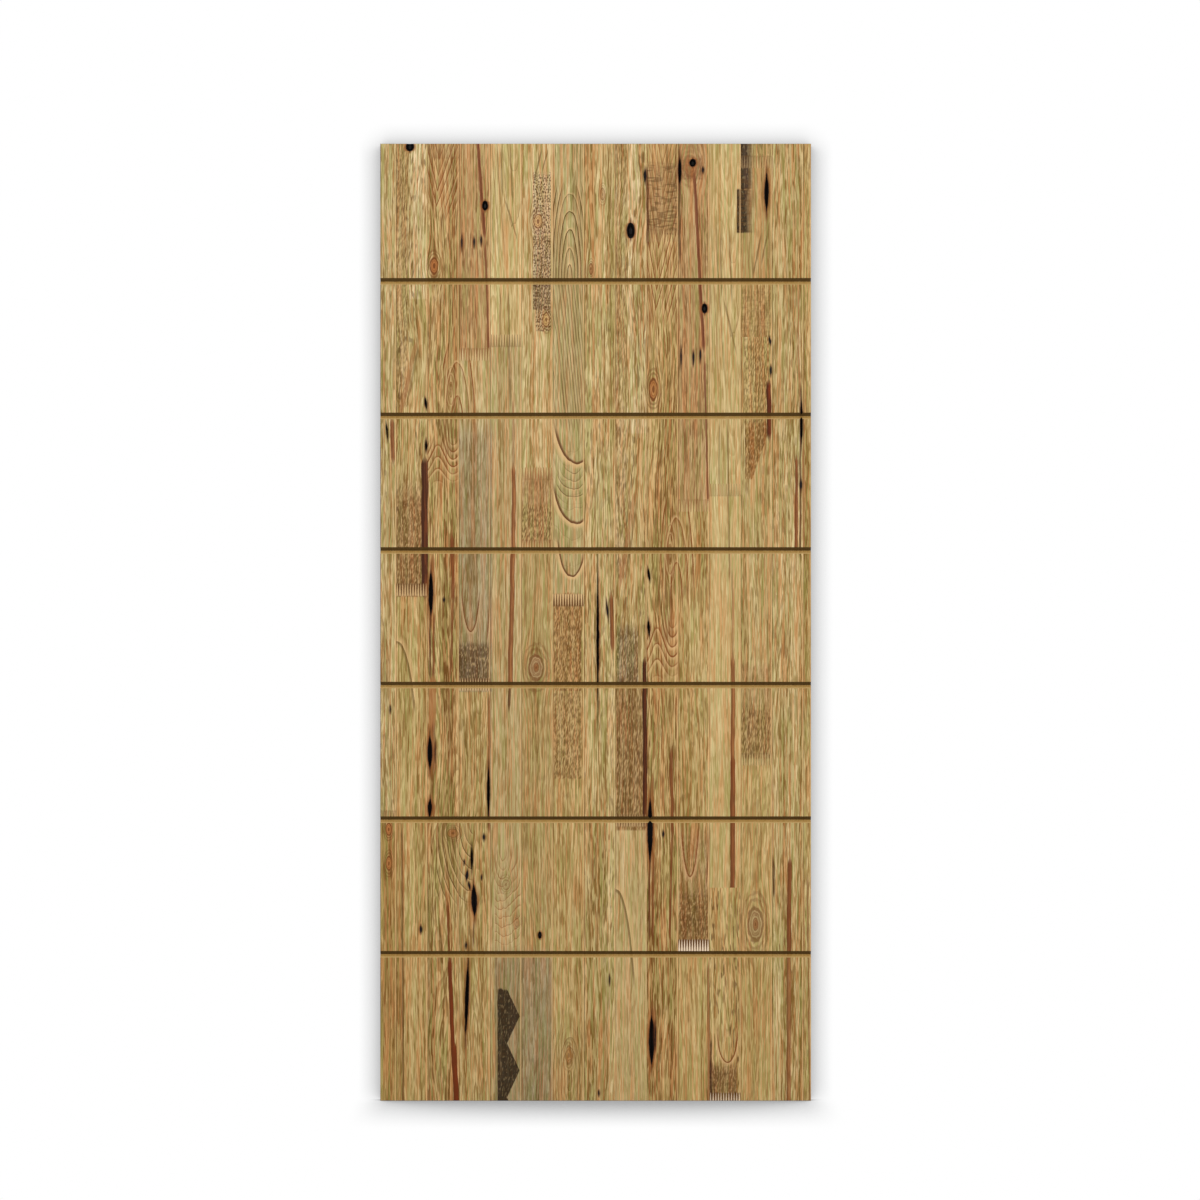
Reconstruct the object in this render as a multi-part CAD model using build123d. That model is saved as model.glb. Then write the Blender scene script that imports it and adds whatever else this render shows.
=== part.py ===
from build123d import *
from math import cos, sin, tau
import os

# A solid timber door slab, glued up from upright staves.
# Each stave is one board, or shorter blocks joined end to end.
# X runs across the door from the hinge edge to the lock edge, Z runs up,
# and the front faces -Y. The origin is on the hinge edge, half way through
# the thickness, at the foot of the slab. All sizes are in millimetres.

# Slab
door_width = 914.4
door_height = 2032.0
door_thickness = 35.0
arris = 1.0

# Staves: the first and the last are ripped narrow, and the whole ones between
# them share what is left of the width
first_stave_width = 33.5
last_stave_width = 16.4
whole_staves = 13

# V-grooves across both faces, evenly spaced between the two outer bands
top_band = 292.1
foot_band = 311.15
groove_count = 6
groove_width = 12.7
groove_depth = 6.35
groove_lip = 0.8

# Finger joints: tapered fingers with blunt tips, right through the slab
finger_pitch = 5.54
finger_length = 28.0
finger_tip = 0.9

# Joints in each stave, from the top down. Each is a form and a height, and
# heights here and below are shares of the slab's height from its foot.
stave_joints = {
    1: [("finger", 0.297)],
    2: [("finger", 0.534)],
    4: [("finger", 0.780), ("finger", 0.435)],
    5: [("finger", 0.794)],
    6: [("finger", 0.655), ("finger", 0.580)],
    7: [("finger", 0.523)],
    9: [("finger", 0.293)],
    10: [("finger", 0.904)],
    11: [("finger", 0.622), ("finger", 0.162)],
    12: [("finger", 0.638), ("butt", 0.2227)],
    13: [("finger", 0.981), ("butt", 0.8548), ("butt", 0.798), ("finger", 0.357)],
}
block_names = {
    1: [""],
    2: ["_upper", "_lower"],
    3: ["_upper", "_middle", "_lower"],
    5: ["_top", "_upper", "_middle", "_lower", "_foot"],
}

# Hollows open on the front: floors are narrower than rims, and the cutters
# that make them stand proud of the face
knot_hole_depth = 7.0
knot_hole_corners = 10
knot_hole_unevenness = 0.06
shake_depth = 5.0
floor_share = 0.5
mouth_height = 2.0

# Knot holes in each stave: share across it, height, width, length
knot_holes = {
    2: [(0.44, 0.9968, 17.0, 20.0)],
    4: [(0.84, 0.9353, 12.5, 21.0)],
    6: [(0.59, 0.1731, 8.0, 15.0)],
    9: [(0.49, 0.9092, 17.0, 34.0)],
    11: [(0.47, 0.9800, 14.0, 17.0), (0.85, 0.8278, 12.5, 21.0)],
}

# Shakes in each stave: share across it, height, width, length, and how many
# degrees the top leans towards the lock edge
shakes = {
    1: [(0.42, 0.6991, 4.0, 34.0, -5.0)],
    2: [(0.95, 0.7285, 5.0, 24.0, -8.0), (0.96, 0.6845, 4.5, 26.0, 0.0)],
    3: [
        (0.11, 0.5300, 10.0, 98.0, 0.0),
        (0.08, 0.3642, 10.0, 76.0, 0.0),
        (0.08, 0.3057, 9.0, 42.0, 2.0),
    ],
    4: [
        (0.95, 0.3229, 6.0, 112.0, 0.0),
        (0.42, 0.2535, 6.0, 50.0, 0.0),
        (0.49, 0.2096, 12.0, 70.0, -2.0),
        (0.26, 0.1073, 8.0, 165.0, 2.0),
    ],
    8: [(0.44, 0.4853, 5.3, 280.0, 0.0)],
    10: [
        (0.07, 0.5500, 5.5, 28.0, -8.0),
        (0.07, 0.4936, 5.5, 36.0, -4.0),
        (0.11, 0.2827, 11.5, 140.0, 0.0),
        (0.16, 0.0635, 12.0, 106.0, 0.0),
    ],
    11: [(0.06, 0.9720, 7.0, 62.0, 0.0)],
    13: [(0.83, 0.9489, 9.0, 85.0, 0.0)],
    14: [(0.94, 0.7087, 6.5, 94.0, 0.0)],
}

stave_count = whole_staves + 2
stave_width = (door_width - first_stave_width - last_stave_width) / whole_staves
edges = [0.0] + [first_stave_width + count * stave_width for count in range(whole_staves + 1)]
edges.append(door_width)


def across(stave, share):
    """X of a place in a stave, given as a share of its width."""
    left, right = edges[stave - 1], edges[stave]
    return left + share * (right - left)


def groove_heights():
    """Height of the valley of each groove, from the top down."""
    pitch = (door_height - top_band - foot_band) / (groove_count - 1)
    return [door_height - top_band - count * pitch for count in range(groove_count)]


def make_groove(height, side):
    """Prism that cuts one groove. side is -1 on the front and 1 on the back."""
    half = groove_width / 2
    face_y = door_thickness / 2
    profile = [
        (face_y - groove_depth, 0),
        (face_y - groove_lip, half),
        (face_y, half + groove_lip),
        (face_y + groove_depth, half + groove_lip),
        (face_y + groove_depth, -half - groove_lip),
        (face_y, -half - groove_lip),
        (face_y - groove_lip, -half),
    ]
    outline = [(side * y, z) for y, z in profile]
    section = make_face(Polyline(outline, close=True))
    return Pos(0, 0, height) * extrude(Plane.YZ * section, door_width)


def make_hollow(rim, floor, depth, lean):
    """Faceted hollow below the face, from its rim and its floor, both as (x, z) points."""
    points = [(x, -mouth_height, z) for x, z in rim]
    points += [(x, 0, z) for x, z in rim]
    points += [(x, depth, z) for x, z in floor]
    return Rot(0, lean, 0) * ConvexPolyhedron(points)


def make_knot_hole(width, length):
    """Rounded, slightly uneven hollow that a fallen knot leaves."""
    turns = [tau * step / knot_hole_corners for step in range(knot_hole_corners)]
    reach = [1 - knot_hole_unevenness * (step % 3) for step in range(knot_hole_corners)]
    rim = [(r * width / 2 * sin(turn), r * length / 2 * cos(turn)) for r, turn in zip(reach, turns)]
    floor = [(floor_share * x, floor_share * z) for x, z in rim[::2]]
    return make_hollow(rim, floor, knot_hole_depth, 0)


def make_shake(width, length, lean):
    """Crack along the grain, pointed at both ends, with a keel for a floor."""
    stations = [-0.66, -0.22, 0.22, 0.66]
    bulge = [((1 - station**2) * width / 2, station * length / 2) for station in stations]
    rim = [(0, -length / 2), (0, length / 2)] + bulge + [(-x, z) for x, z in bulge]
    keel = [(0, -floor_share * length / 2), (0, floor_share * length / 2)]
    return make_hollow(rim, keel, shake_depth, lean)


def on_front(stave, share, height):
    """Place on the front face of the slab."""
    return Pos(across(stave, share), -door_thickness / 2, height * door_height)


def make_slab():
    """The whole slab with eased arrises, grooves, knot holes and shakes."""
    slab = Pos(door_width / 2, 0, door_height / 2) * Box(door_width, door_thickness, door_height)
    sides = slab.faces().sort_by(Axis.Y)
    slab = chamfer(sides[0].edges() + sides[-1].edges(), arris)
    cutters = [make_groove(height, side) for height in groove_heights() for side in (-1, 1)]
    for stave, holes in knot_holes.items():
        for share, height, width, length in holes:
            cutters.append(on_front(stave, share, height) * make_knot_hole(width, length))
    for stave, cracks in shakes.items():
        for share, height, width, length, lean in cracks:
            cutters.append(on_front(stave, share, height) * make_shake(width, length, lean))
    return slab - cutters


def joint_line(left, right, form, height):
    """Points of a joint across a stave, seen from the front, left to right."""
    if form == "butt":
        return [(left, height), (right, height)]
    low = height - finger_length / 2
    high = height + finger_length / 2
    count = max(1, round((right - left) / finger_pitch))
    pitch = (right - left) / count
    points = [(left, low)]
    for finger in range(count):
        start = left + finger * pitch
        middle = start + pitch / 2
        points.append((start + finger_tip / 2, low))
        points.append((middle - finger_tip / 2, high))
        points.append((middle + finger_tip / 2, high))
        points.append((start + pitch - finger_tip / 2, low))
    points.append((right, low))
    return points


def make_block(slab, left, right, top_joint, foot_joint):
    """The piece of the slab between two joints of a stave."""
    upper = joint_line(left, right, *top_joint)
    lower = joint_line(left, right, *foot_joint)
    outline = make_face(Polyline(lower + upper[::-1], close=True))
    prism = extrude(Plane.XZ * outline, door_thickness, both=True)
    return slab & prism


def make_stave(slab, stave):
    """Every block of one stave, by name."""
    left, right = edges[stave - 1], edges[stave]
    joints = [("butt", door_height)]
    joints += [(form, share * door_height) for form, share in stave_joints.get(stave, [])]
    joints.append(("butt", 0.0))
    names = block_names[len(joints) - 1]
    blocks = {}
    for name, top_joint, foot_joint in zip(names, joints, joints[1:]):
        blocks[f"stave_{stave:02d}{name}"] = make_block(slab, left, right, top_joint, foot_joint)
    return blocks


def make_door():
    """Every block of the door, by name."""
    slab = make_slab()
    blocks = {}
    for stave in range(1, stave_count + 1):
        blocks.update(make_stave(slab, stave))
    return blocks


os.makedirs("parts", exist_ok=True)
for node, block in make_door().items():
    block.label = node
    export_step(block, f"parts/{node}.step")
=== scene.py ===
from math import radians, tan, tau

import bpy
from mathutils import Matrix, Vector


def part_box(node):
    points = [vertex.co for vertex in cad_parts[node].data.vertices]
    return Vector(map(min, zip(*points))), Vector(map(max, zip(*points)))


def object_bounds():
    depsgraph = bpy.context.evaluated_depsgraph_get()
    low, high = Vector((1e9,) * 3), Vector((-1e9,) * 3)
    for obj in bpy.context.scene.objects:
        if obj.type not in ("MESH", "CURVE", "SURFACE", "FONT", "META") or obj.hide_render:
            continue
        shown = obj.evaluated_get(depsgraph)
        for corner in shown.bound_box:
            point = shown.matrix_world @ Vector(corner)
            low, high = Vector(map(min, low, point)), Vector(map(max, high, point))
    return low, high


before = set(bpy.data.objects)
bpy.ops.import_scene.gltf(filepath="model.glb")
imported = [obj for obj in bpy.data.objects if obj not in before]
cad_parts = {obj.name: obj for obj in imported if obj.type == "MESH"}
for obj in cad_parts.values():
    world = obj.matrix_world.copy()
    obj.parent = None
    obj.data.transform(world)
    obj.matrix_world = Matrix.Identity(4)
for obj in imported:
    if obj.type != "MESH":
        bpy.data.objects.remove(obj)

# Interior door slab of knotty timber, finger-jointed and edge-glued, with a
# satin clear finish. Places on the boards are in millimetres: across from the
# hinge edge, through from mid-thickness, and down from the top edge.
cad_low, cad_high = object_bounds()
MM = 1000.0
door_width = (cad_high.x - cad_low.x) * MM
door_height = (cad_high.z - cad_low.z) * MM
face_depth = (cad_high.y - cad_low.y) * MM / 2

# Staves eight to thirteen are sawn from the same figure as one to six, which
# shows again this far across and down, and this much longer
repeat_across = 465.5
repeat_down = 176.0
repeat_stretch = 1.332
repeat_staves = range(8, 14)

# V-grooves
first_groove = 292.1
groove_pitch = 285.75
groove_count = 6
groove_depth = 6.35
groove_lip = 0.8

# Finger joints, in staves of this width
stave_width = 66.5
finger_pitch = 5.54
finger_length = 28.0
finger_tip = 0.9

# How far a loop, a streak or a patch has to reach into a block before it shows there
joint_reach = 60.0
streak_reach = 30.0
patch_reach = 16.0


def shade(red, green, blue):
    """A colour as painted, from its 0 to 255 screen values."""
    def linear(value):
        share = value / 255
        return share / 12.92 if share <= 0.04045 else ((share + 0.055) / 1.055) ** 2.4
    return (linear(red), linear(green), linear(blue), 1.0)


def filled(values, count):
    """The values of a mark, with noughts up to that count."""
    return tuple(values) + (0,) * (count - len(values))


# Timber finishes: the board's own colour, its light streaks and its dark ones
finishes = {
    "sapwood": (shade(196, 169, 114), shade(226, 204, 150), shade(156, 124, 66)),
    "cream": (shade(189, 162, 111), shade(222, 198, 148), shade(144, 112, 58)),
    "straw": (shade(182, 155, 100), shade(220, 196, 144), shade(126, 92, 40)),
    "olive": (shade(180, 158, 108), shade(216, 196, 146), shade(130, 108, 58)),
    "tan": (shade(176, 147, 92), shade(210, 184, 130), shade(128, 94, 42)),
    "honey": (shade(169, 137, 83), shade(206, 176, 122), shade(108, 70, 24)),
    "rose": (shade(173, 138, 90), shade(204, 172, 124), shade(120, 78, 38)),
    "amber": (shade(160, 127, 71), shade(197, 162, 106), shade(112, 74, 24)),
    "brown": (shade(156, 120, 68), shade(198, 162, 110), shade(90, 54, 16)),
}

# Tints of figures and marks
rose_tint = shade(216, 146, 90)
olive_tint = shade(148, 156, 80)
pore_tint = shade(84, 52, 18)
curl_dark = shade(88, 60, 26)
curl_pale = shade(210, 176, 122)
ring_tint = shade(92, 66, 26)
warm_ring = shade(126, 68, 26)
bowl_ring = shade(100, 60, 30)
pale_ring = shade(218, 178, 124)
wine = shade(94, 44, 14)
rust = shade(162, 104, 58)
umber = shade(52, 24, 6)
russet = shade(136, 76, 36)
brick = shade(118, 50, 16)
heart_red = shade(98, 46, 24)
heart_edge = shade(134, 80, 48)
grey_wash = shade(148, 128, 94)
# Painted shade: black inside open holes and splits
hole_shade_black = shade(10, 6, 5)
knot_heart = shade(178, 108, 54)
knot_pale = shade(182, 150, 110)
knot_gold = shade(212, 164, 98)
bark_brown = shade(104, 56, 20)
burnt_rim = shade(80, 38, 12)
scorch = shade(156, 94, 44)
# Grooves: plain tan flanks, painted shade on the upper flank, painted highlight on the lower arris
groove_tan = shade(166, 128, 68)
groove_shadow = shade(50, 33, 8)
groove_painted_highlight = shade(198, 166, 110)
end_tint = shade(118, 86, 50)
glue_tint = shade(80, 50, 22)
finger_dark = shade(92, 56, 24)
finger_pale = shade(216, 180, 128)
finger_white = shade(240, 216, 186)
seam_dark = shade(88, 60, 26)
seam_pale = shade(226, 182, 126)

# Each block of a stave: finish, how bright, streaks, growth lines, sway of
# the grain, pores. Its row in this list also seeds its grain.
blocks = {
    "stave_01_upper": ("straw", 0.9, 0.9, 0.5, 4, 0.5),
    "stave_01_lower": ("amber", 1.0, 0.8, 0.5, 2, 0.3),
    "stave_02_upper": ("straw", 1.0, 0.8, 0.5, 8, 0.8),
    "stave_02_lower": ("tan", 1.04, 0.8, 0.3, 3, 0.2),
    "stave_03": ("honey", 1.02, 1, 0.6, 7, 0.4),
    "stave_04_upper": ("rose", 1.04, 0.7, 0.3, 2, 0.4),
    "stave_04_middle": ("cream", 0.96, 0.8, 0.5, 5, 0.3),
    "stave_04_lower": ("tan", 0.98, 0.9, 0.7, 6, 0.4),
    "stave_05_upper": ("sapwood", 0.98, 0.7, 0.5, 3, 0.1),
    "stave_05_lower": ("cream", 0.88, 0.7, 0.3, 3, 0.1),
    "stave_06_upper": ("cream", 1.03, 0.9, 0.5, 6, 0.2),
    "stave_06_middle": ("brown", 1.0, 0.6, 0.3, 2, 0.5),
    "stave_06_lower": ("tan", 0.9, 0.7, 0.5, 4, 0.3),
    "stave_07_upper": ("olive", 0.98, 0.7, 0.3, 3, 0.1),
    "stave_07_lower": ("tan", 1.02, 0.8, 0.4, 3, 0.3),
    "stave_08": ("straw", 0.98, 0.9, 0.5, 4, 0.5),
    "stave_09_upper": ("straw", 1.0, 0.9, 0.5, 8, 0.7),
    "stave_09_lower": ("cream", 1.0, 0.6, 0.3, 3, 0.2),
    "stave_10_upper": ("honey", 1.1, 0.7, 0.3, 3, 0.6),
    "stave_10_lower": ("honey", 1.08, 1, 0.6, 7, 0.4),
    "stave_11_upper": ("rose", 1.0, 0.7, 0.3, 2, 0.4),
    "stave_11_middle": ("tan", 1.05, 0.9, 0.5, 5, 0.4),
    "stave_11_lower": ("tan", 1.1, 0.7, 0.4, 3, 0.3),
    "stave_12_upper": ("sapwood", 0.97, 0.7, 0.5, 3, 0.1),
    "stave_12_middle": ("sapwood", 1.0, 0.6, 0.3, 3, 0.1),
    "stave_12_lower": ("tan", 1.1, 0.8, 0.5, 4, 0.9),
    "stave_13_top": ("tan", 0.96, 0.8, 0.5, 3, 0.6),
    "stave_13_upper": ("tan", 0.92, 0.6, 0.4, 4, 0.3),
    "stave_13_middle": ("honey", 1.14, 0.8, 0.4, 4, 0.4),
    "stave_13_lower": ("straw", 1.0, 0.7, 0.5, 5, 0.4),
    "stave_13_foot": ("tan", 1.1, 0.7, 0.5, 4, 0.3),
    "stave_14": ("straw", 0.98, 0.9, 0.6, 3, 0.4),
    "stave_15": ("tan", 1.06, 0.9, 0.6, 2, 0.4),
}

# Growth rings that show as loops: middle across and down, how much longer
# than wide, from 0 round to 1 pointed, ring spacing, left, right, top, foot,
# strength, waver, lean across for each millimetre down, tint
board_loops = [
    (127, 2, 3.3, 1, 10, 100, 166.5, -200, 150, 0.95, 3, -0.06, warm_ring),
    (163, 600, 5.2, 0, 13, 133, 200, 440, 596, 1.2, 2.5, 0, warm_ring),
    (150, 522, 4.4, 0, 3.6, 141, 161, 478, 566, 0.95, 1, 0, warm_ring),
    (34, 1330, 6, 0, 46, 33.5, 100, 1040, 1200, 0.75, 1, 0, ring_tint),
    (192, 905, 6.2, 0, 21.5, 166.5, 233, 960, 1052, 1.1, 1, 0, warm_ring),
    (284, -500, 16, 0, 7, 233, 299.5, 0, 240, 0.5, 3, 0, ring_tint),
]
door_loops = [
    (402, 290, 6, 0, 6.2, 366, 432.5, 95, 290, 1.25, 2.4, 0, ring_tint),
    (384, 640, 12, 0.3, 5.5, 366, 432.5, 290, 596, 0.75, 2.5, 0.11, ring_tint),
    (406, 300, 5, 0, 6, 366, 432.5, 640, 900, 0.25, 3, 0, ring_tint),
    (410, 636, 2.2, 0, 7.5, 376, 430, 690, 756, 0.8, 3, 0, ring_tint),
    (196, 1440, 2.6, 0, 9.5, 120, 196, 1445, 1605, 0.95, 3, 0, ring_tint),
    (262, 1500, 2.4, 0, 7.5, 243, 299.5, 1500, 1700, 0.6, 9, 0, warm_ring),
    (737, 1890, 2.8, 0, 22, 700, 760, 1885, 1970, 1.1, 1, 0, warm_ring),
    (402, 1990, 4, 0, 6, 366, 432.5, 1880, 2040, 0.5, 3, 0, ring_tint),
]
for bowl_middle, bowl_foot, bowl_reach, bowl_stretch in ((418, 681, 50, 2.2), (415, 807, 50, 2.2),
                                                         (407, 921, 34, 3.4)):
    door_loops.append((bowl_middle, bowl_foot - bowl_reach * bowl_stretch, bowl_stretch, 0, bowl_reach, 366,
                       432.5, bowl_foot - 75, bowl_foot + 30, 1.1, 2, 0, bowl_ring))

# Growth rings that swing across a board: hump across, where they end down,
# swing there, ring spacing, left, right, top, foot, strength
board_waves = [(122, 700, 14, 19, 100, 166.5, 636, 712, 1)]

# Knots with their rings: across, down, width, length, tint, strength
board_knots = [
    (114, 259, 17, 34, knot_heart, 1),
    (331, 1112, 31, 54, knot_pale, 0.75),
    (331, 1112, 11, 20, rust, 0.7),
]
door_knots = [
    (18, 1456, 12, 26, knot_heart, 1),
    (18, 1528, 12, 30, knot_heart, 1),
    (658, 48, 30, 46, knot_heart, 0.36),
    (472, 107, 10, 25, rust, 0.7),
    (447, 266, 9, 23, rust, 0.9),
    (267, 1573, 16, 22, knot_pale, 0.5),
    (290, 1653, 11, 17, knot_heart, 0.5),
    (400, 1935, 14, 38, knot_heart, 0.55),
    (154, 1464, 22, 18, knot_heart, 0.6),
    (335, 165, 18, 30, knot_gold, 0.85),
    (352, 374, 15, 30, knot_gold, 0.85),
]

# Coloured streaks along the grain: across at the top, down at the top, down
# at the foot, width, lean to the foot, tint, edge tint, strength
board_streaks = [
    (200, -99, 212, 6.6, 22, heart_red, heart_edge, 0.95),
    (222, 200, 455, 4, 9, heart_red, heart_edge, 0.85),
    (282, 533, 705, 4.2, 1, russet, wine, 0.45),
    (283, 672, 892, 8.5, -1, rust, wine, 0.95),
    (152, 817, 985, 6.5, 3, russet, wine, 0.9),
    (155, 955, 1148, 4.2, -7, russet, wine, 0.85),
    (105, 985, 1150, 3.8, 1, wine, umber, 0.85),
    (114, 985, 1150, 4.2, -2, russet, wine, 0.9),
    (113, 860, 935, 6, -2, rust, wine, 0.7),
    (23, 571, 690, 8, 6, russet, wine, 0.9),
    (80, 408, 590, 9, -42, russet, rust, 0.5),
    (84, 420, 560, 4, -30, ring_tint, ring_tint, 0.45),
    (231, 1161, 1475, 4.4, 0, rust, wine, 0.8),
    (345, 0, 90, 3.2, -21, ring_tint, ring_tint, 0.6),
    (358, 0, 70, 3.2, -17, ring_tint, ring_tint, 0.6),
    (256, 0, 121, 3.2, 4, ring_tint, ring_tint, 0.5),
    (260, 105, 213, 3.2, 34, ring_tint, ring_tint, 0.5),
    (275, 0, 132, 3.2, 7, ring_tint, ring_tint, 0.5),
    (254, 302, 429, 3.2, 0, ring_tint, ring_tint, 0.45),
    (271, 302, 577, 3.8, 6, ring_tint, ring_tint, 0.5),
    (102, 700, 760, 3, 0, umber, umber, 0.5),
]
for across in (121, 130, 139, 148):
    board_streaks.append((across, 560, 676, 3.8, 0.55 * (162.0 - across), warm_ring, ring_tint, 0.55))
door_streaks = [
    (146.5, 1140, 1330, 3.4, 0, russet, wine, 0.6),
    (94, 655, 975, 14, 1, shade(104, 54, 26), shade(44, 20, 6), 1),
    (561, 1080, 1465, 9, 1, wine, shade(44, 20, 6), 1),
    (282, 850, 1172, 10, -7, rust, wine, 0.95),
    (275, 1140, 1216, 5.3, -2, wine, umber, 0.85),
    (748, 1290, 1605, 10.5, 0, russet, wine, 0.95),
    (143, 1598, 1745, 4.4, 3, brick, wine, 0.85),
    (146, 1715, 1935, 8.5, 9, brick, wine, 1),
    (155, 1895, 2060, 11.5, 7, brick, wine, 1),
    (112, 1120, 1262, 15, -3, rust, rust, 0.75),
    (113, 1215, 1345, 7, 2, rust, umber, 0.75),
    (111, 1385, 1440, 7, 2, rust, umber, 0.7),
    (580, 1820, 1950, 8, 2, rust, umber, 0.75),
    (199, 1636, 1717, 3.4, -2, umber, umber, 0.7),
    (824.5, 490, 640, 9.4, 1, brick, umber, 1),
    (869, 1505, 1745, 9, -1, russet, wine, 0.95),
    (867, 1700, 2060, 9, 0, rust, wine, 0.82),
    (884, 650, 880, 6.5, -2, russet, wine, 0.95),
    (887, 300, 520, 4, 2, rust, russet, 0.5),
    (898, 630, 880, 4, 0, rust, russet, 0.6),
    (907, 1543, 2060, 4.2, 5, russet, wine, 0.6),
    (834, 1505, 1612, 4.6, 2, wine, umber, 0.8),
    (566, 36, 230, 5.3, 2, wine, umber, 0.75),
    (634, 15, 260, 5, 2, wine, umber, 0.75),
    (893, 500, 890, 3.6, -2, wine, umber, 0.8),
    (102, 1560, 2060, 3, 2, wine, umber, 0.35),
    (46, 1441, 2060, 3.4, 3, wine, umber, 0.55),
    (702, 1890, 2060, 4, 0, umber, umber, 0.85),
]

# Patches of curly or stained wood: left, right, down at the top and the foot,
# length over which the top fades in, tint, strength, curl, level ripple, fade
# to the right, cut off the right side at the foot, depth of its jagged edge.
# Values left out at the end of a row are 0.
board_patches = [
    (33.5, 58, -160, 560, 20, shade(180, 147, 96), 0.5, 0.6),
    (36, 98, 690, 962, 80, shade(150, 114, 68), 0.95, 0.9),
    (301, 366, 696, 766, 12, shade(168, 132, 84), 0.55, 0.4),
    (301, 364, 764, 848, 10, shade(162, 124, 74), 0.9, 1),
]
door_patches = [
    (166.5, 238, 560, 1164, 80, grey_wash, 0.75, 0.15),
    (166.5, 231, 1055, 1148, 20, shade(126, 99, 66), 0.95, 0.9, 0.2),
    (60, 99, -30, 330, 20, shade(202, 176, 126), 0.9),
    (525.5, 564.5, -30, 615, 20, shade(202, 176, 126), 0.55),
    (634, 696, 1440, 1600, 40, shade(166, 130, 84), 0.6, 0.3),
    (634, 696, 1580, 1706, 35, shade(144, 104, 58), 0.95, 0.9, 0.4),
    (368, 427, 955, 1162, 3, shade(162, 120, 68), 0.95, 1),
    (368, 427, 1160, 1348, 10, shade(168, 132, 80), 0.85, 0.9),
    (565.5, 632, 35, 193, 20, shade(156, 120, 72), 0.8, 0.2, 0.9),
    (638, 684, 24, 76, 14, shade(134, 88, 54), 0.5, 0.4, 0.3),
    (765, 797, -30, 96, 3, shade(56, 42, 26), 1.3, 0.4, 0.9, 1),
    (757, 797, 96, 189, 3, shade(52, 38, 22), 1.3, 0.4, 1, 1),
    (772, 826, 412, 592, 4, shade(178, 148, 90), 0.9, 0.85),
    (774, 828, 590, 712, 6, shade(150, 110, 56), 0.95, 0.9, 0, 0, 38),
    (698.5, 757, 1944, 2060, 30, shade(142, 103, 60), 0.9, 0.8, 0.4),
    (243, 366, 1700, 2060, 40, shade(146, 126, 90), 0.85, 0.15),
    (249, 269, 1795, 2060, 3, shade(62, 49, 30), 1.2, 0.35, 0.2, 0, 0, 27),
    (767, 829, 290, 418, 30, shade(160, 122, 70), 0.6, 0.5, 0.3),
    (33, 51.5, 1441, 2060, 3, shade(156, 120, 66), 0.8),
    (502, 548, 1010, 1155, 40, shade(142, 122, 88), 0.8, 0.9),
]
speckled_patches = [
    (324, 362, 58, 192, 14, shade(202, 172, 130), 0.9, 1.5, 0.3),
    (324, 362, 186, 304, 16, shade(172, 144, 108), 0.9, 1.5, 0.4),
    (324, 362, 292, 352, 12, shade(138, 114, 84), 0.95, 1.3, 0.5),
    (330, 362, 344, 398, 12, shade(180, 150, 108), 0.85, 1.5, 0.3),
]
door_patches += speckled_patches

# How long the flecks of a patch are, against their width
speckle_length = 5.0
fleck_length = 11.0

# Fallen-knot holes, and pointed splits, painted black inside as shade: across, down, width,
# length, and for splits the degrees that the top leans to the lock edge
door_holes = [
    (62.8, 6.5, 17, 20), (222.4, 131.5, 12.5, 21), (338.7, 1680.3, 8, 15), (531.6, 184.5, 17, 34),
    (663.3, 40.6, 14, 17), (688.5, 349.9, 12.5, 21),
]
door_splits = [
    (14.1, 611.4, 4, 34, -5), (96.7, 551.7, 5, 24, -8), (97.3, 641.1, 4.5, 26), (107.3, 955, 10, 98),
    (105.3, 1291.9, 10, 76), (105.3, 1410.8, 9, 42, 2), (229.7, 1375.9, 6, 112), (194.4, 1516.9, 6, 50),
    (199.1, 1606.1, 12, 70, -2), (183.8, 1814, 8, 165, 2), (461.8, 1045.9, 5.3, 280),
    (570.2, 914.4, 5.5, 28, -8), (570.2, 1029, 5.5, 36, -4), (572.8, 1457.6, 11.5, 140),
    (576.1, 1903, 12, 106), (636, 56.9, 7, 62), (820.2, 103.8, 9, 85), (894, 591.9, 6.5, 94),
    (220, 1473, 4.7, 15), (215, 1558, 3.4, 11), (184, 1553, 5.3, 21, 6), (189, 1575, 4.2, 15, -10),
    (86, 1668, 5.6, 17), (482, 990, 3.6, 40, -6), (583.5, 1893, 3.4, 50), (178, 1526, 3, 11),
    (182, 1702, 3.8, 13), (562, 68, 5.3, 30), (685, 56, 4.2, 13), (827, 418, 4.7, 17, -8),
    (829, 482, 4.7, 21), (893, 724, 4.2, 25), (464, 2016, 3.4, 13),
]
board_splits = [
    (173, 210, 3.2, 30), (199, 210, 4.2, 21), (214, 206, 4.2, 19), (135, 968, 4.2, 11),
    (21, 1201, 3.4, 15), (116, 1292, 3.2, 32),
]
door_openings = [hole + (0, 1) for hole in door_holes] + [filled(crack, 6) for crack in door_splits]
board_openings = [filled(crack, 6) for crack in board_splits]


# Shader values
class Field:
    """A number, colour or place that changes over the surface, from one output of a shader node.

    Sums and products of fields become Math nodes."""

    def __init__(self, socket):
        self.socket = socket
        self.tree = socket.id_data

    def __add__(self, other):
        return calc("ADD", self, other)

    def __sub__(self, other):
        return calc("SUBTRACT", self, other)

    def __rsub__(self, other):
        return calc("SUBTRACT", other, self)

    def __mul__(self, other):
        return calc("MULTIPLY", self, other)

    def __truediv__(self, other):
        return calc("DIVIDE", self, other)

    def __rtruediv__(self, other):
        return calc("DIVIDE", other, self)


def feed(socket, value):
    """Links a node's input to a field, or sets its plain value."""
    if isinstance(value, Field):
        value.tree.links.new(value.socket, socket)
    else:
        socket.default_value = value


def new_node(tree, kind, **settings):
    """A node of that kind with its settings."""
    node = tree.nodes.new("ShaderNode" + kind)
    for name, value in settings.items():
        setattr(node, name, value)
    return node


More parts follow.
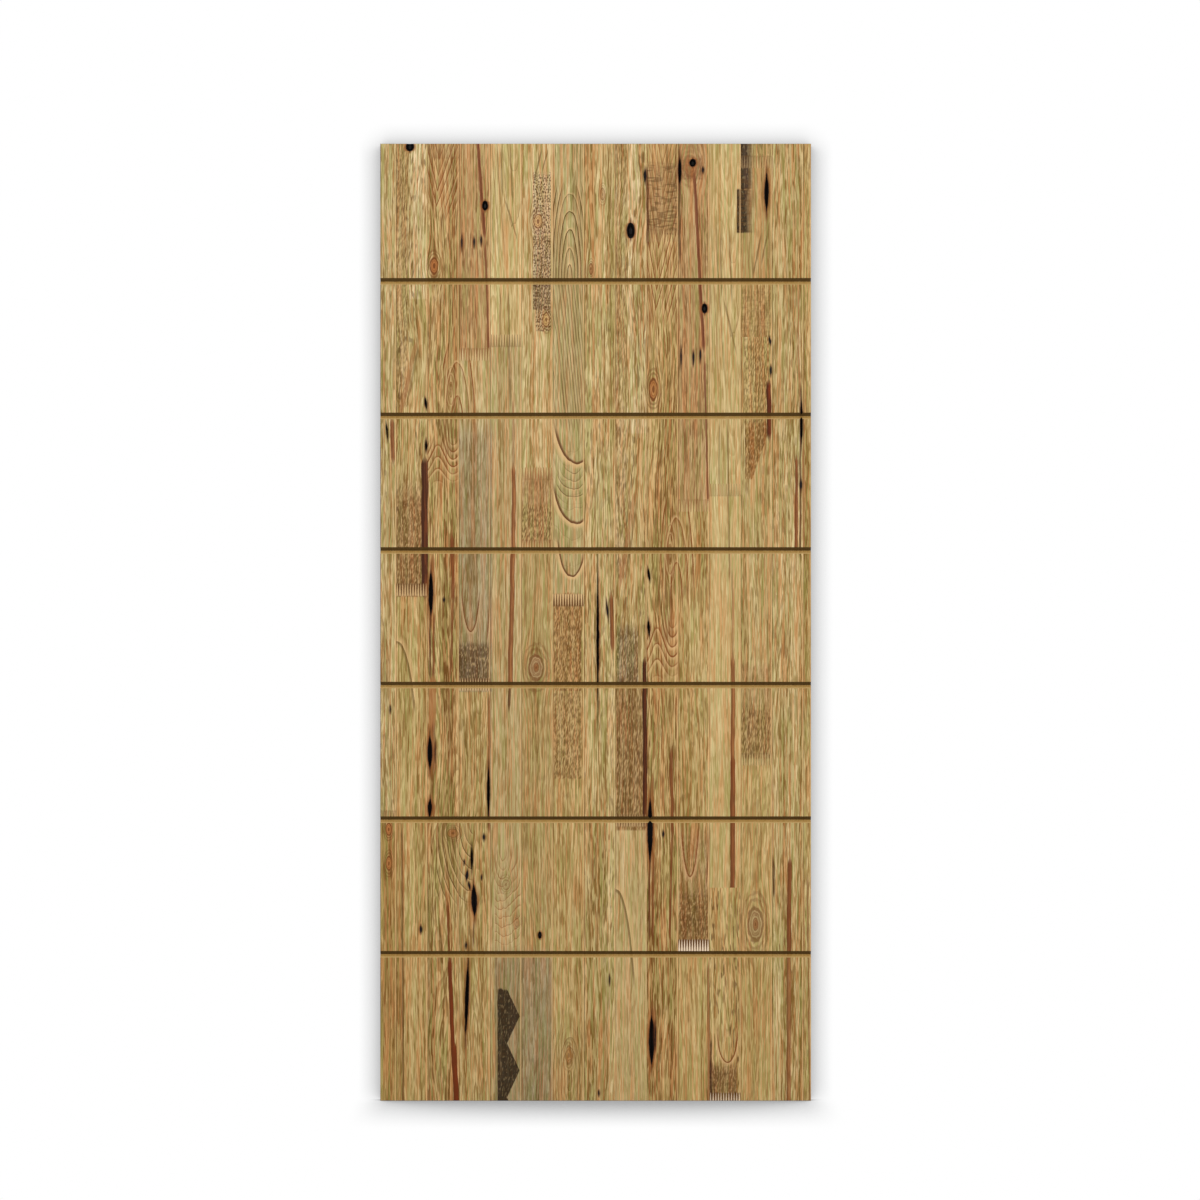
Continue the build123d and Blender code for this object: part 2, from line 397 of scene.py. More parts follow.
def calc(operation, *values, clamp=False):
    """Result of a Math node. clamp keeps it from 0 to 1."""
    tree = next(value.tree for value in values if isinstance(value, Field))
    node = new_node(tree, "Math", operation=operation, use_clamp=clamp)
    for socket, value in zip(node.inputs, values):
        feed(socket, value)
    return Field(node.outputs["Value"])


def least(first, second):
    return calc("MINIMUM", first, second)


def most(first, second):
    return calc("MAXIMUM", first, second)


def size_of(value):
    return calc("ABSOLUTE", value)


def length_of(first, second):
    """Length of the third side of a right angle."""
    return calc("SQRT", calc("MULTIPLY_ADD", first, first, second * second))


def step(value, start, end):
    """Smooth step from 0 at start to 1 at end. start may be above end."""
    node = new_node(value.tree, "MapRange", interpolation_type="SMOOTHSTEP")
    feed(node.inputs["Value"], value)
    feed(node.inputs["From Min"], start)
    feed(node.inputs["From Max"], end)
    return Field(node.outputs["Result"])


def blend(share, below, above, how="MIX"):
    """Colour above laid over colour below by a share."""
    node = new_node(share.tree, "Mix", data_type="RGBA", blend_type=how)
    feed(node.inputs["Factor"], share)
    feed(node.inputs[6], below)
    feed(node.inputs[7], above)
    return Field(node.outputs[2])


def vector(operation, place, other):
    """Vector result of a Vector Math node."""
    node = new_node(place.tree, "VectorMath", operation=operation)
    feed(node.inputs[0], place)
    feed(node.inputs[1], other)
    return Field(node.outputs["Vector"])


def split_place(place):
    """Across, through and down, from a place."""
    node = new_node(place.tree, "SeparateXYZ")
    feed(node.inputs["Vector"], place)
    return [Field(output) for output in node.outputs]


def join_place(across, through, down):
    """A place from across, which is a field, through and down."""
    node = new_node(across.tree, "CombineXYZ")
    for socket, value in zip(node.inputs, (across, through, down)):
        feed(socket, value)
    return Field(node.outputs["Vector"])


def noise(place, across, along, detail=2):
    """Noise from 0 to 1, in cells of that many millimetres across and along the grain."""
    node = new_node(place.tree, "TexNoise")
    node.inputs["Scale"].default_value = 1
    node.inputs["Detail"].default_value = detail
    feed(node.inputs["Vector"], vector("MULTIPLY", place, (1 / across, 1 / across, 1 / along)))
    return Field(node.outputs[0])


def sway(place, across, along):
    """Noise as a shift to either side, up to half a unit."""
    return noise(place, across, along) - 0.5


def start_group(name, colors, numbers):
    """A shader node group that takes a place, colours and numbers. Gives its inputs by name."""
    tree = bpy.data.node_groups.new(name, "ShaderNodeTree")
    kinds = [("Place", "NodeSocketVector")]
    kinds += [(label, "NodeSocketColor") for label in colors]
    kinds += [(label, "NodeSocketFloat") for label in numbers]
    for label, kind in kinds:
        tree.interface.new_socket(name=label, in_out="INPUT", socket_type=kind)
    given = tree.nodes.new("NodeGroupInput").outputs
    return {label: Field(given[label]) for label, _ in kinds}


def end_group(**results):
    """Gives a group its outputs, named and typed as the fields they put out."""
    tree = next(iter(results.values())).tree
    for label, field in results.items():
        kind = "NodeSocketColor" if field.socket.type == "RGBA" else "NodeSocketFloat"
        tree.interface.new_socket(name=label, in_out="OUTPUT", socket_type=kind)
    result = tree.nodes.new("NodeGroupOutput").inputs
    for label, field in results.items():
        feed(result[label], field)
    return tree


def place_group(group, **values):
    """Puts a group in the material that holds the place, with its inputs by name. Gives its outputs."""
    node = new_node(values["Place"].tree, "Group", node_tree=group)
    for label, value in values.items():
        feed(node.inputs[label.replace("_", " ")], value)
    return {output.name: Field(output) for output in node.outputs}


# Shared effects
def make_board_grain():
    """Fibre of a sawn board: streaks, growth lines, fine lines and dark pores along it."""
    given = start_group("Board grain", ["Base", "Light", "Dark"],
                        ["Bend", "Seed", "Streaks", "Growth", "Sway", "Pores"])
    seed, dark = given["Seed"], given["Dark"]
    apart = (71.3, 37.7, 911)
    seeded = vector("ADD", given["Place"], join_place(*(seed * gap for gap in apart)))
    wander = (noise(seeded, 60, 330, 1) - 0.5) * (given["Sway"] * 4) + given["Bend"]
    fibre = vector("ADD", seeded, join_place(wander, 0, 0))

    broad = step(noise(fibre, 24, 900), 0.38, 0.62)
    medium = step(noise(fibre, 8, 460), 0.42, 0.58)
    fine = step(noise(fibre, 3.7, 190, 1), 0.42, 0.58)
    hair = step(noise(fibre, 2.6, 32, 1), 0.43, 0.57)
    tone = broad * 0.20 + medium * 0.15 + fine * 0.25 + hair * 0.40
    tone = (tone - 0.5) * given["Streaks"] * 0.92 + 0.5
    color = blend(step(tone, 0.54, 0.12), given["Base"], dark)
    color = blend(step(tone, 0.46, 0.88), color, given["Light"])

    lines_across_noise = 19
    contour = calc("FRACT", noise(fibre, 30, 620, 0) * lines_across_noise)
    line = step(contour, 0.50, 0.90) * step(contour, 1, 0.94)
    color = blend(line * given["Growth"] * 0.85, color, dark)

    warmth = noise(vector("ADD", fibre, (0, 400, 0)), 3, 150, 1)
    color = blend(step(warmth, 0.53, 0.64) * 0.40, color, rose_tint)
    color = blend(step(warmth, 0.47, 0.36) * 0.34, color, olive_tint)

    zone = step(noise(fibre, 26, 240), 0.38, 0.60)
    pores = step(noise(fibre, 3.4, 20, 0), 0.56, 0.68) * zone * given["Pores"]
    color = blend(pores * 0.75, color, pore_tint)
    return end_group(Color=color, Height=hair * 0.3 + 0.5 - pores * 0.8, Roughness=0.62 - fine * 0.10)


def make_seam():
    """Edges where two staves are glued: a dark line at the left one, a pale one at the right."""
    given = start_group("Seam", ["Color"], ["Left", "Right"])
    across, _, _ = split_place(given["Place"])
    uneven = step(noise(given["Place"], 40, 150), 0.35, 0.65)
    dark = step(across - given["Left"], 2.4, 0.6) * (uneven * 0.35 + 0.30)
    pale = step(given["Right"] - across, 3.6, 1.2) * (0.60 - uneven * 0.30)
    color = blend(dark, given["Color"], seam_dark)
    return end_group(Color=blend(pale, color, seam_pale))


def make_loop_reach():
    """How far out a place is in nested loops, and how fast that grows over the board."""
    given = start_group("Loop reach", [], ["Across", "Down", "Stretch", "Point", "Waver", "Lean"])
    across, _, down = split_place(given["Place"])
    below = down - given["Down"]
    side = across - (below * given["Lean"] + given["Across"])
    along = below / given["Stretch"]
    rounded = length_of(side, along)
    pointed = size_of(side) + along
    reach = (pointed - rounded) * given["Point"] + rounded
    reach = sway(given["Place"], 24, 110) * (given["Waver"] * 2) + reach
    steepness = length_of(side, along / given["Stretch"])
    slope = most(steepness / most(rounded, 0.1), given["Point"])
    return end_group(Reach=reach, Slope=slope)


def make_wave_reach():
    """The same for rings that swing once across a board: a hump at the left, a bowl at the right."""
    given = start_group("Wave reach", [], ["Across", "Down", "Swing"])
    across, _, down = split_place(given["Place"])
    growing = 0.25
    base_reach = 1000
    turn = (across - given["Across"]) * (tau / stave_width)
    wave = calc("COSINE", turn) * -1
    above = given["Down"] - down
    swing = most(above * growing + given["Swing"], 2)
    reach = base_reach - swing * wave - above + sway(given["Place"], 20, 60) * 8
    lean = calc("SINE", turn) * swing * (tau / stave_width)
    return end_group(Reach=reach, Slope=length_of(lean, wave * growing + 1))


def make_ring_lines():
    """Growth rings drawn out from a reach: a dark line for each, pale outside it.

    Widely spaced rings are bolder."""
    given = start_group("Ring lines", ["Color", "Tint"],
                        ["Reach", "Slope", "Spacing", "Left", "Right", "Top", "Foot", "Strength"])
    across, _, down = split_place(given["Place"])
    spacing = given["Spacing"]
    turns = given["Reach"] / spacing
    phase = calc("FRACT", turns)
    width = spacing / given["Slope"]
    short = (1 - phase) * width
    past = phase * width

    own = new_node(spacing.tree, "TexWhiteNoise", noise_dimensions="1D")
    feed(own.inputs["W"], calc("FLOOR", turns))
    bold = step(spacing, 12, 24)
    weight = most(Field(own.outputs["Value"]) * 0.6 + 0.6, bold)
    breadth = spacing * 0.11 + 2
    dark = most(step(short, breadth, breadth * 0.35) * weight, step(short, 10, 1) * 0.24)
    pale = step(past, breadth * 1.6, 1.4) * weight * (bold * 0.40 + 0.30)

    fade = 20
    starts = step(down, given["Top"] - fade, given["Top"] + fade)
    ends = step(down, given["Foot"] + fade, given["Foot"] - fade)
    sides = least(across - given["Left"], given["Right"] - across)
    share = starts * ends * given["Strength"] * step(sides, -1, 1) * step(width, 2, 4.6)
    color = blend(calc("MULTIPLY", pale, share, clamp=True), given["Color"], pale_ring)
    dark = calc("MULTIPLY", dark * share, 0.85, clamp=True)
    return end_group(Color=blend(dark, color, given["Tint"]))


def make_knot_bend():
    """How far the grain moves aside to pass a knot."""
    given = start_group("Knot bend", [], ["Across", "Down", "Width", "Length"])
    across, _, down = split_place(given["Place"])
    side = across - given["Across"]
    wide = side / (given["Width"] * 0.9)
    long = (down - given["Down"]) / given["Length"]
    pull = calc("EXPONENT", (wide * wide + long * long) * -1)
    return end_group(Bend=side * pull * -0.85)


# Rings of a knot: where between its heart and past its edge, breadth, strength
knot_rings = [(1.85, 0.16, 0.40), (1.42, 0.16, 0.50), (0.96, 0.20, 0.85), (0.62, 0.12, 0.45)]


def make_knot():
    """Sound knot: a brown heart, tinted wood and a bark line round it, and faint rings outside."""
    given = start_group("Knot", ["Color", "Tint"], ["Across", "Down", "Width", "Length", "Strength"])
    across, _, down = split_place(given["Place"])
    wide = (across - given["Across"]) / (given["Width"] * 0.5)
    long = (down - given["Down"]) / (given["Length"] * 0.5)
    radius = sway(given["Place"], 8, 12) * 0.5 + length_of(wide, long)
    color = blend(step(radius, 1.3, 0.8) * 0.7, given["Color"], given["Tint"])
    for middle, breadth, strength in knot_rings:
        ring = step(size_of(radius - middle), breadth, breadth * 0.4)
        color = blend(ring * strength, color, bark_brown)
    color = blend(step(radius, 0.40, 0.20) * 0.85, color, bark_brown)
    return end_group(Color=blend(given["Strength"], given["Color"], color))


def make_streak():
    """Coloured streak along the grain, dark at its edges, which tapers out at both ends."""
    given = start_group("Streak", ["Color", "Tint", "Edge Tint"],
                        ["Across", "Top", "Foot", "Width", "Lean", "Strength"])
    place = given["Place"]
    across, _, down = split_place(place)
    from_top, to_foot = down - given["Top"], given["Foot"] - down
    along = from_top / (given["Foot"] - given["Top"])
    centre = along * given["Lean"] + given["Across"] + sway(place, 200, 60) * 3.5
    off_centre = across - centre
    taper = step(least(from_top, to_foot), -2, 26)
    gap = size_of(off_centre) - given["Width"] * 0.5 * taper + sway(place, 4, 34) * 3
    share = step(gap, 0.6, -0.6) * taper * given["Strength"]
    edge = most(step(gap, -1.9, -0.5) * 0.8, step(off_centre, 0.5, -2) * 0.75)
    edge = most(edge, step(noise(place, 2.8, 44), 0.45, 0.58) * 0.6)
    tint = blend(edge, given["Tint"], given["Edge Tint"])
    return end_group(Color=blend(share, given["Color"], tint))


def make_patch():
    """Patch of stained wood, which can be curly, rippled, faded, tapered or jagged."""
    given = start_group("Patch", ["Color", "Wash"],
                        ["Left", "Right", "Top", "Foot", "Rise", "Strength", "Curl", "Ripple", "Fade", "Cut",
                         "Jag", "Dash"])
    place = given["Place"]
    across, _, down = split_place(place)
    cut_length = 110
    tooth_length = 57.5
    ragged = sway(place, 5, 40)
    from_top, to_foot = down - given["Top"], given["Foot"] - down
    cut = calc("SUBTRACT", 1, to_foot / cut_length, clamp=True)
    tooth = calc("PINGPONG", from_top / tooth_length, 1)
    from_right = given["Right"] - across + tooth * given["Jag"] - cut * given["Cut"]
    from_left = across - given["Left"]
    sides = least(from_left, from_right) + ragged * 1.5
    inside = step(sides, -0.6, 0.8) * step(to_foot, -2, 2)
    inside = inside * step(from_top + ragged * 12, -3, given["Rise"])
    far = step(from_left / (given["Right"] - given["Left"]), 0.25, 1)
    inside = inside * (1 - far * given["Fade"])
    mottle = step(noise(place, 9, 60), 0.25, 0.6)
    share = inside * given["Strength"] * (mottle * 0.3 + 0.7)
    color = blend(share, given["Color"], given["Wash"], "MULTIPLY")

    slant = 0.12
    dash = noise(join_place(down * slant + across, 0, down / given["Dash"]), 2.5, 1, 1)
    curl = inside * given["Curl"]
    dark = step(dash, 0.47, 0.60) * curl
    pale = step(dash, 0.46, 0.34) * curl
    color = blend(calc("MULTIPLY", dark, 0.60, clamp=True), color, curl_dark)
    color = blend(calc("MULTIPLY", pale, 0.48, clamp=True), color, curl_pale)
    wave = step(noise(place, 22, 5, 1), 0.48, 0.60) * inside * given["Ripple"]
    return end_group(Color=blend(wave * 0.60, color, curl_dark), Flecks=dark)


def make_split():
    """Split or fallen-knot hole in the front: painted black shade inside, burnt brown round its rim."""
    given = start_group("Split", ["Color"], ["Across", "Down", "Width", "Length", "Lean", "Round"])
    across, through, down = split_place(given["Place"])
    below = down - given["Down"]
    off_centre = size_of(across - (given["Across"] - below * given["Lean"]))
    along = below / (given["Length"] * 0.5)
    bulge = calc("SUBTRACT", 1, along * along, clamp=True)
    bulge = calc("POWER", bulge, 1 - given["Round"] * 0.5)
    depth = given["Width"] * 0.5 * bulge - off_centre + sway(given["Place"], 5, 14) * 3.2
    front = step(through, 10 - face_depth, 9 - face_depth)
    from_middle = size_of(along)
    near = step(from_middle, 1.7, 0.9) * front
    large = step(given["Width"], 6, 9)
    color = blend(step(depth, -9, -1) * near * large * 0.60, given["Color"], scorch)
    color = blend(step(depth, -4.2, 0.2) * near * 0.60, color, burnt_rim)
    color = blend(step(off_centre, 1.6, 0.5) * near * 0.60, color, umber)
    # Painted shade: black over the open part of the hole or split
    open_hole_shade = step(depth, -0.4, 0.4) * step(from_middle, 1.02, 0.98) * front
    return end_group(Color=blend(open_hole_shade, color, hole_shade_black))


def make_groove_tone_and_shade():
    """The V-grooves: plain tan flanks, with painted shade under the upper edge and a painted highlight at the
    lower arris.
    """
    given = start_group("Groove tone and shade", ["Color"], [])
    _, through, down = split_place(given["Place"])
    count = calc("ROUND", (down - first_groove) / groove_pitch)
    count = least(most(count, 0), groove_count - 1)
    below = down - (count * groove_pitch + first_groove)
    away = size_of(below)
    sunk = face_depth - size_of(through)
    flank = most(groove_depth - away, 0)
    inside = step(away, groove_depth + groove_lip, groove_depth + 0.3) * step(size_of(sunk - flank), 1.2, 0.9)
    # Painted shade on the upper flank and a painted highlight at the lower arris, as from light from above
    upper = inside * step(below, 1.2, -0.6)
    arris_highlight = inside * step(below, groove_depth - 2.2, groove_depth - 0.8)
    color = blend(inside * 0.80, given["Color"], groove_tan)
    color = blend(upper * 0.85, color, groove_shadow)
    return end_group(Color=blend(arris_highlight * 0.6, color, groove_painted_highlight))


# Pith of each stave's own ring pattern, in from its left edge
pith_across = 20


def make_end_grain():
    """Sawn ends at the top and the foot: darker, with growth rings across them."""
    given = start_group("End grain", ["Color"], ["Pith"])
    across, through, down = split_place(given["Place"])
    pith_depth = 62
    ring_pitch = 3.1
    reach = length_of(across - given["Pith"], through + pith_depth) + noise(given["Place"], 14, 14) * 5
    ring = step(calc("FRACT", reach / ring_pitch), 0.3, 0.95)
    middle = door_height / 2
    end = step(size_of(down - middle), middle - 0.5, middle - 0.1)
    color = blend(end * 0.45, given["Color"], end_tint)
    return end_group(Color=blend(end * ring * 0.35, color, ring_tint))


def make_finger_joint():
    """Fingers of a joint, in one tint above it and one below, with a thin dark glue line between."""
    given = start_group("Finger joint", ["Color", "Upper", "Lower"], ["Left", "Pitch", "Down", "Strength"])
    across, _, down = split_place(given["Place"])
    turns = (across - given["Left"]) / given["Pitch"]
    rise = calc("PINGPONG", turns, 0.5) * 2
    tip = finger_tip / given["Pitch"]
    rise = calc("DIVIDE", rise - tip, 1 - tip * 2, clamp=True)
    past = down - ((0.5 - rise) * finger_length + given["Down"])
    finger = blend(step(past, -0.5, 0.5), given["Upper"], given["Lower"])
    half = finger_length / 2
    within = step(size_of(down - given["Down"]), half + 1, half - 3)
    color = blend(within * given["Strength"], given["Color"], finger)
    glue = step(size_of(past), 5, 2) * within
    return end_group(Color=blend(glue * 0.35, color, glue_tint))


board_grain = make_board_grain()
seam = make_seam()
loop_reach = make_loop_reach()
wave_reach = make_wave_reach()
ring_lines = make_ring_lines()
knot_bend = make_knot_bend()
knot = make_knot()
streak = make_streak()
patch = make_patch()
split = make_split()
groove_tone_and_shade = make_groove_tone_and_shade()
end_grain = make_end_grain()
finger_joint = make_finger_joint()


class Board:
    """One block of a stave: where it lies on the door, and on the figure it is sawn from."""

    def __init__(self, node):
        low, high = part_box(node)
        self.node = node
        self.stave = int(node.split("_")[1])
        self.repeats = self.stave in repeat_staves
        self.left, self.right = low.x * MM, high.x * MM
        self.top, self.foot = door_height - high.z * MM, door_height - low.z * MM

    def meets(self, repeated, reach, left, right, top, foot):
        """Whether a mark in that box reaches so far down this block."""
        if repeated and self.repeats:
            left, right = left + repeat_across, right + repeat_across
            top, foot = (repeat_down + repeat_stretch * down for down in (top, foot))
        overlap = min(foot, self.foot) - max(top, self.top)
        return left < self.right - 1 and right > self.left + 1 and overlap > reach


def marks_on(board, board_marks, door_marks, box, reach=0):
    """Marks of one kind that show on a block, with whether each is part of the repeated figure."""
    found = [(True, mark) for mark in board_marks if board.meets(True, reach, *box(mark))]
    found += [(False, mark) for mark in door_marks if board.meets(False, reach, *box(mark))]
    return found


# The box that a mark of each kind lies in: left, right, top and foot
def loop_box(mark):
    return mark[5:9]


def wave_box(mark):
    return mark[4:8]


def knot_box(mark):
    across, down, width, length = mark[:4]
    return across - 1.5 * width, across + 1.5 * width, down - 1.5 * length, down + 1.5 * length


def streak_box(mark):
    across, top, foot, width, lean = mark[:5]
    return across - width + min(lean, 0), across + width + max(lean, 0), top, foot


def patch_box(mark):
    return mark[:4]


def opening_box(mark):
    across, down, width, length = mark[:4]
    rim = 4
    return across - width - rim, across + width + rim, down - 0.8 * length, down + 0.8 * length


def draw_rings(color, place, reached, spacing, edges, strength, tint):
    """Growth rings laid over a colour, between their edges."""
    left, right, top, foot = edges
    return place_group(ring_lines, Place=place, Color=color, Reach=reached["Reach"], Slope=reached["Slope"],
                       Spacing=spacing, Left=left, Right=right, Top=top, Foot=foot, Strength=strength,
                       Tint=tint)["Color"]


def stave_material(board, seed, joints):
    """Timber of one block, with every mark that shows on it."""
    material = bpy.data.materials.new(board.node)
    material.use_nodes = True
    tree = material.node_tree
    surface = tree.nodes["Principled BSDF"].inputs
    coordinate = Field(new_node(tree, "TexCoord").outputs["Object"])

    def measured(across, down, stretch):
        """Places in millimetres, from a point across and down the door."""
        mapping = new_node(tree, "Mapping")
        mapping.inputs["Location"].default_value = (-across, 0, (door_height - down) / stretch)
        mapping.inputs["Scale"].default_value = (MM, MM, -MM / stretch)
        feed(mapping.inputs["Vector"], coordinate)
        return Field(mapping.outputs["Vector"])

    on_door = measured(0, 0, 1)
    on_board = measured(repeat_across, repeat_down, repeat_stretch) if board.repeats else on_door
    places = {True: on_board, False: on_door}

    bend = 0
    knots = marks_on(board, board_knots, door_knots, knot_box)
    for repeated, (across, down, width, length, _, _) in knots:
        moved = place_group(knot_bend, Place=places[repeated], Across=across, Down=down, Width=width,
                            Length=length)
        bend = moved["Bend"] + bend

    finish, bright, streaky, growth, wander, pores = blocks[board.node]
    base, light, dark = ([bright * value for value in tint[:3]] + [1] for tint in finishes[finish])
    grain = place_group(board_grain, Place=on_door, Bend=bend, Seed=seed, Base=base, Light=light, Dark=dark,
                        Streaks=streaky, Growth=growth, Sway=wander, Pores=pores)
    color, height = grain["Color"], grain["Height"]

    for repeated, mark in marks_on(board, board_loops, door_loops, loop_box, joint_reach):
        across, down, stretch, point, spacing, *edges, strength, waver, lean, tint = mark
        reached = place_group(loop_reach, Place=places[repeated], Across=across, Down=down, Stretch=stretch,
                              Point=point, Waver=waver, Lean=lean)
        color = draw_rings(color, places[repeated], reached, spacing, edges, strength, tint)
    for repeated, mark in marks_on(board, board_waves, [], wave_box, joint_reach):
        across, down, swing, spacing, *edges, strength = mark
        reached = place_group(wave_reach, Place=places[repeated], Across=across, Down=down, Swing=swing)
        color = draw_rings(color, places[repeated], reached, spacing, edges, strength, warm_ring)
    for repeated, mark in marks_on(board, board_patches, door_patches, patch_box, patch_reach):
        left, right, top, foot, rise, tint, strength, curl, ripple, fade, cut, jag = filled(mark, 12)
        wash = [own / ground for own, ground in zip(tint, base)]
        stained = place_group(patch, Place=places[repeated], Color=color, Left=left, Right=right, Top=top,
                              Foot=foot, Rise=rise, Wash=wash, Strength=strength, Curl=curl, Ripple=ripple,
                              Fade=fade, Cut=cut, Jag=jag,
                              Dash=speckle_length if mark in speckled_patches else fleck_length)
        color = stained["Color"]
        height = height - stained["Flecks"] * 0.5
    color = place_group(seam, Place=on_door, Color=color, Left=board.left, Right=board.right)["Color"]
    for repeated, mark in marks_on(board, board_streaks, door_streaks, streak_box, streak_reach):
        across, top, foot, width, lean, tint, edge_tint, strength = mark
        color = place_group(streak, Place=places[repeated], Color=color, Across=across, Top=top, Foot=foot,
                            Width=width, Lean=lean, Tint=tint, Edge_Tint=edge_tint,
                            Strength=strength)["Color"]
    for repeated, (across, down, width, length, tint, strength) in knots:
        color = place_group(knot, Place=places[repeated], Color=color, Across=across, Down=down, Width=width,
                            Length=length, Tint=tint, Strength=strength)["Color"]
    for down, upper, lower, strength in joints:
        width = board.right - board.left
        color = place_group(finger_joint, Place=on_door, Color=color, Left=board.left,
                            Pitch=width / max(1, round(width / finger_pitch)), Down=down, Upper=upper,
                            Lower=lower, Strength=strength)["Color"]
    for repeated, mark in marks_on(board, board_openings, door_openings, opening_box):
        across, down, width, length, lean, rounded = mark
        color = place_group(split, Place=places[repeated], Color=color, Across=across, Down=down, Width=width,
                            Length=length, Lean=tan(radians(lean)), Round=rounded)["Color"]
    color = place_group(end_grain, Place=on_door, Color=color, Pith=board.left + pith_across)["Color"]
    feed(surface["Base Color"], place_group(groove_tone_and_shade, Place=on_door, Color=color)["Color"])
    feed(surface["Roughness"], grain["Roughness"])
    surface["Specular IOR Level"].default_value = 0.10

    bump = new_node(tree, "Bump")
    bump.inputs["Strength"].default_value = 0.5
    bump.inputs["Distance"].default_value = 0.0006
    feed(bump.inputs["Height"], height)
    feed(surface["Normal"], Field(bump.outputs["Normal"]))
    return material


# Fingers by stave: how far down, the tint of those above and below, strength.
# At the top of stave 3 and the foot of stave 12 only their worn marks show.
finger_joints = {
    1: [(1428.5, finger_dark, finger_pale, 0.30)],
    2: [(946.9, finger_dark, finger_pale, 0.65)],
    3: [(19, finger_pale, warm_ring, 0.15)],
    4: [(447, warm_ring, finger_pale, 0.34), (1148.1, finger_dark, finger_pale, 0.60)],
    5: [(418.6, finger_pale, ring_tint, 0.36)],
    6: [(701, finger_pale, warm_ring, 0.22), (853.4, warm_ring, finger_pale, 0.30)],
    7: [(969.3, finger_pale, finger_dark, 0.80)],
    9: [(1436.6, finger_dark, finger_pale, 0.42)],
    10: [(195.1, ring_tint, finger_pale, 0.16)],
    11: [(768.1, warm_ring, finger_pale, 0.22), (1702.8, finger_dark, finger_white, 0.90)],
    12: [(735.6, finger_pale, ring_tint, 0.24), (2028, finger_dark, finger_white, 0.65)],
    13: [(38.6, finger_dark, finger_pale, 0.22), (1306.6, finger_dark, finger_pale, 0.24)],
}
seeds = {node: count for count, node in enumerate(blocks, 1)}
for node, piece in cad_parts.items():
    board = Board(node)
    joints = [joint for joint in finger_joints.get(board.stave, [])
              if board.top - finger_length < joint[0] < board.foot + finger_length]
    timber = stave_material(board, seeds[node], joints)
    for slot in piece.material_slots:
        slot.material = timber


# Stage: pale floor and a backdrop close behind the slab, both with a painted shadow near the door, soft light
def seen_directly(tree):
    """1 where the camera sees a surface, also in a reflection or through glass."""
    rays = new_node(tree, "LightPath").outputs
    seen = most(Field(rays["Is Camera Ray"]), Field(rays["Is Glossy Ray"]))
    return most(seen, Field(rays["Is Transmission Ray"]))


def pale_material(name, shadow_reach, shadow_level, side_fade):
    """Plain white that glows white where seen, with a soft shadow painted into its glow where the door stands
    near it, and is clear from behind.
    """
    material = bpy.data.materials.new(name)
    material.use_nodes = True
    tree = material.node_tree
    tree.nodes.clear()
    nearness = new_node(tree, "AmbientOcclusion", samples=10)
    nearness.inputs["Distance"].default_value = shadow_reach
    across, _, height = split_place(Field(new_node(tree, "TexCoord").outputs["Object"]))
    # Painted shadow: the glow darkens where ambient occlusion finds the door near, fades out beside the door
    # and is weaker above its top, as under light from above
    beside = step(size_of(across - door_middle) - door_middle, side_fade, -0.02)
    above = step(height, door_height / MM + 0.04, door_height / MM - 0.02)
    closeness = calc("MULTIPLY", 1 - Field(nearness.outputs["AO"]), 2, clamp=True)
    shadow = closeness * beside * (above * 0.48 + 0.52)

    glow = new_node(tree, "Emission")
    feed(glow.inputs["Strength"], shadow * (shadow_level - 1) + 1)
    plain = new_node(tree, "BsdfDiffuse")
    plain.inputs["Color"].default_value = (0.6, 0.6, 0.6, 1)
    clear = new_node(tree, "BsdfTransparent")
    behind = Field(new_node(tree, "NewGeometry").outputs["Backfacing"])
    surface = mix_shaders(seen_directly(tree), plain.outputs["BSDF"], glow.outputs["Emission"])
    surface = mix_shaders(behind, surface, clear.outputs["BSDF"])
    tree.links.new(surface, new_node(tree, "OutputMaterial").inputs["Surface"])
    return material


def mix_shaders(share, first, second):
    """Output of one shader mixed over another by a share."""
    node = new_node(share.tree, "MixShader")
    feed(node.inputs["Fac"], share)
    share.tree.links.new(first, node.inputs[1])
    share.tree.links.new(second, node.inputs[2])
    return node.outputs["Shader"]


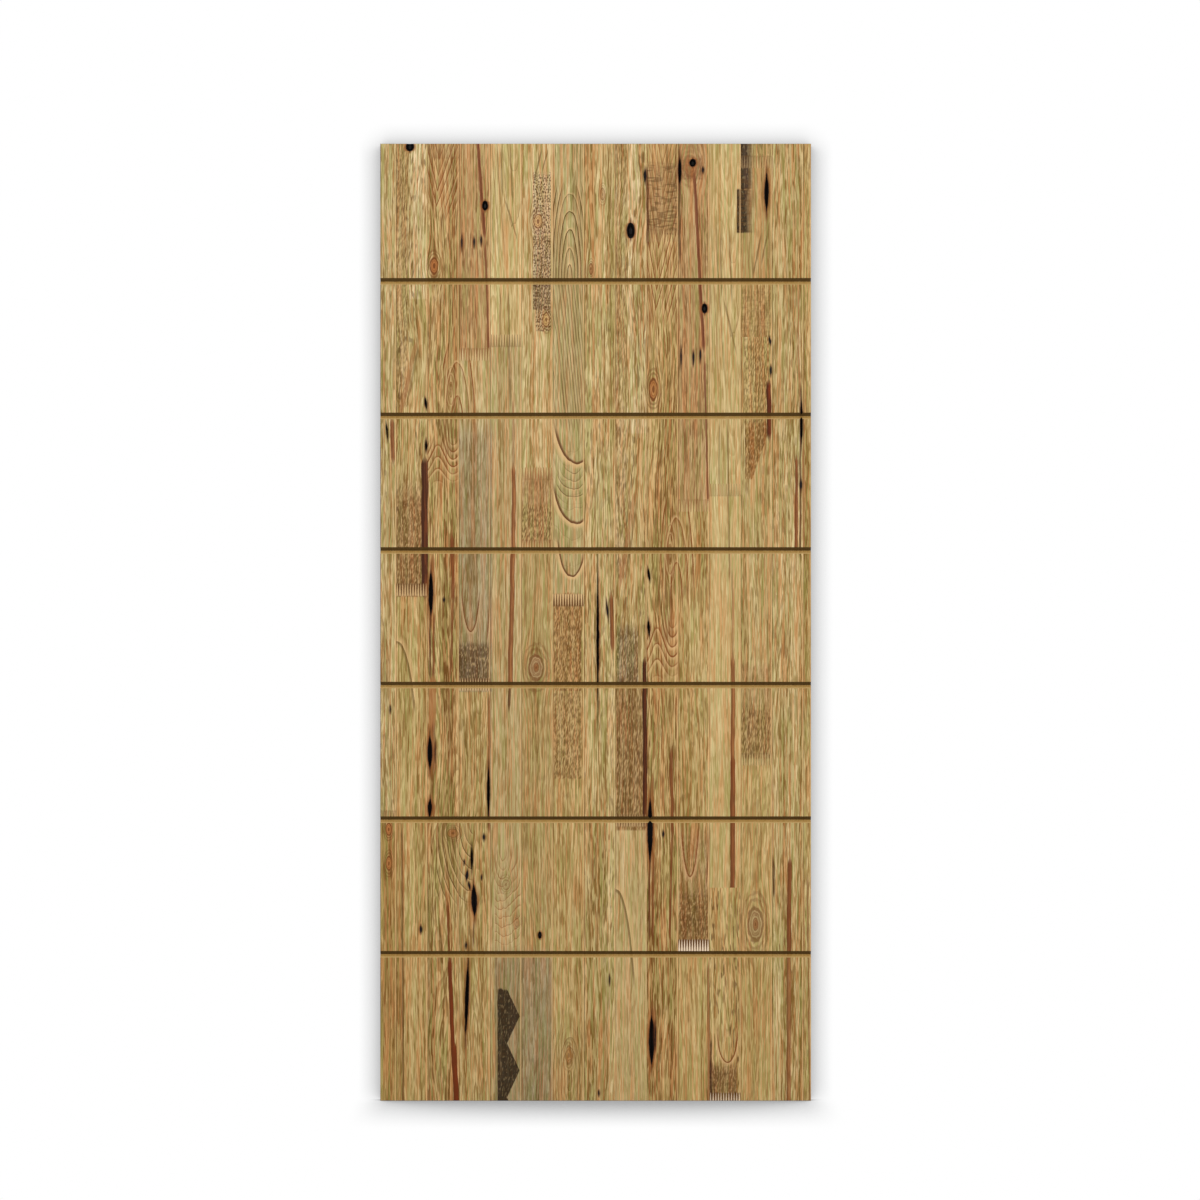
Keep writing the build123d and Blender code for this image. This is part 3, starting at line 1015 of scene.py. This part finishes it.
def add_sheet(name, size, place, turn, material):
    """A flat sheet of the stage, which casts no shadow."""
    bpy.ops.object.select_all(action="DESELECT")
    bpy.ops.mesh.primitive_plane_add(size=size, location=place, rotation=turn)
    sheet = bpy.context.object
    sheet.name = name
    bpy.ops.object.transform_apply(location=True, rotation=True, scale=True)
    sheet.data.materials.append(material)
    sheet.visible_shadow = False
    return sheet


door_middle = cad_high.x / 2
upright = (radians(90), 0, 0)
floor_size = 16
backdrop_size = 3.6
behind_door = 0.001
add_sheet("floor", floor_size, (door_middle, 0, 0), (0, 0, 0), pale_material("pale floor", 0.48, 0.35, 0.06))
backdrop = add_sheet("backdrop", backdrop_size, (door_middle, cad_high.y + behind_door, backdrop_size / 2),
                     upright, pale_material("pale backdrop", 0.05, 0.50, 0.30))
backdrop.visible_diffuse = False

ambient_level = 0.62
world = bpy.data.worlds.new("studio")
bpy.context.scene.world = world
world.use_nodes = True
sky = world.node_tree
background = sky.nodes["Background"].inputs
background["Color"].default_value = (1, 1, 1, 1)
feed(background["Strength"], seen_directly(sky) * (1 - ambient_level) + ambient_level)


def add_lamp(name, place, size, power):
    """Soft square lamp that faces the middle of the door."""
    bpy.ops.object.light_add(type="AREA", location=place)
    lamp = bpy.context.object
    lamp.name = name
    lamp.data.size = size
    lamp.data.energy = power
    direction = lamp.location - Vector((door_middle, 0, 1))
    lamp.rotation_euler = direction.to_track_quat("Z", "Y").to_euler()


lamp_size = 2.5
lamp_power = 195
add_lamp("key", (door_middle - 0.5, -6, 3.2), lamp_size, lamp_power)
add_lamp("back", (door_middle + 0.8, 6, 3.2), lamp_size, lamp_power)

# Camera square on, as far off as the photo's flat view needs
door_pixels = 430.7
photo_scale = door_width / door_pixels
frame_pixels = 1200
door_left_pixel = 380.3
door_foot_pixel = 1100.8
distance = 9.0
sensor_width = 36.0
camera_across = (frame_pixels / 2 - door_left_pixel) * photo_scale / MM
camera_height = (door_foot_pixel - frame_pixels / 2) * photo_scale / MM
bpy.ops.object.camera_add(location=(camera_across, -distance, camera_height), rotation=upright)
camera = bpy.context.object
camera.data.sensor_width = sensor_width
camera.data.lens = sensor_width * (distance + cad_low.y) / (frame_pixels * photo_scale / MM)
camera.data.clip_end = 60.0
bpy.context.scene.camera = camera
bpy.context.scene.view_settings.view_transform = "Standard"
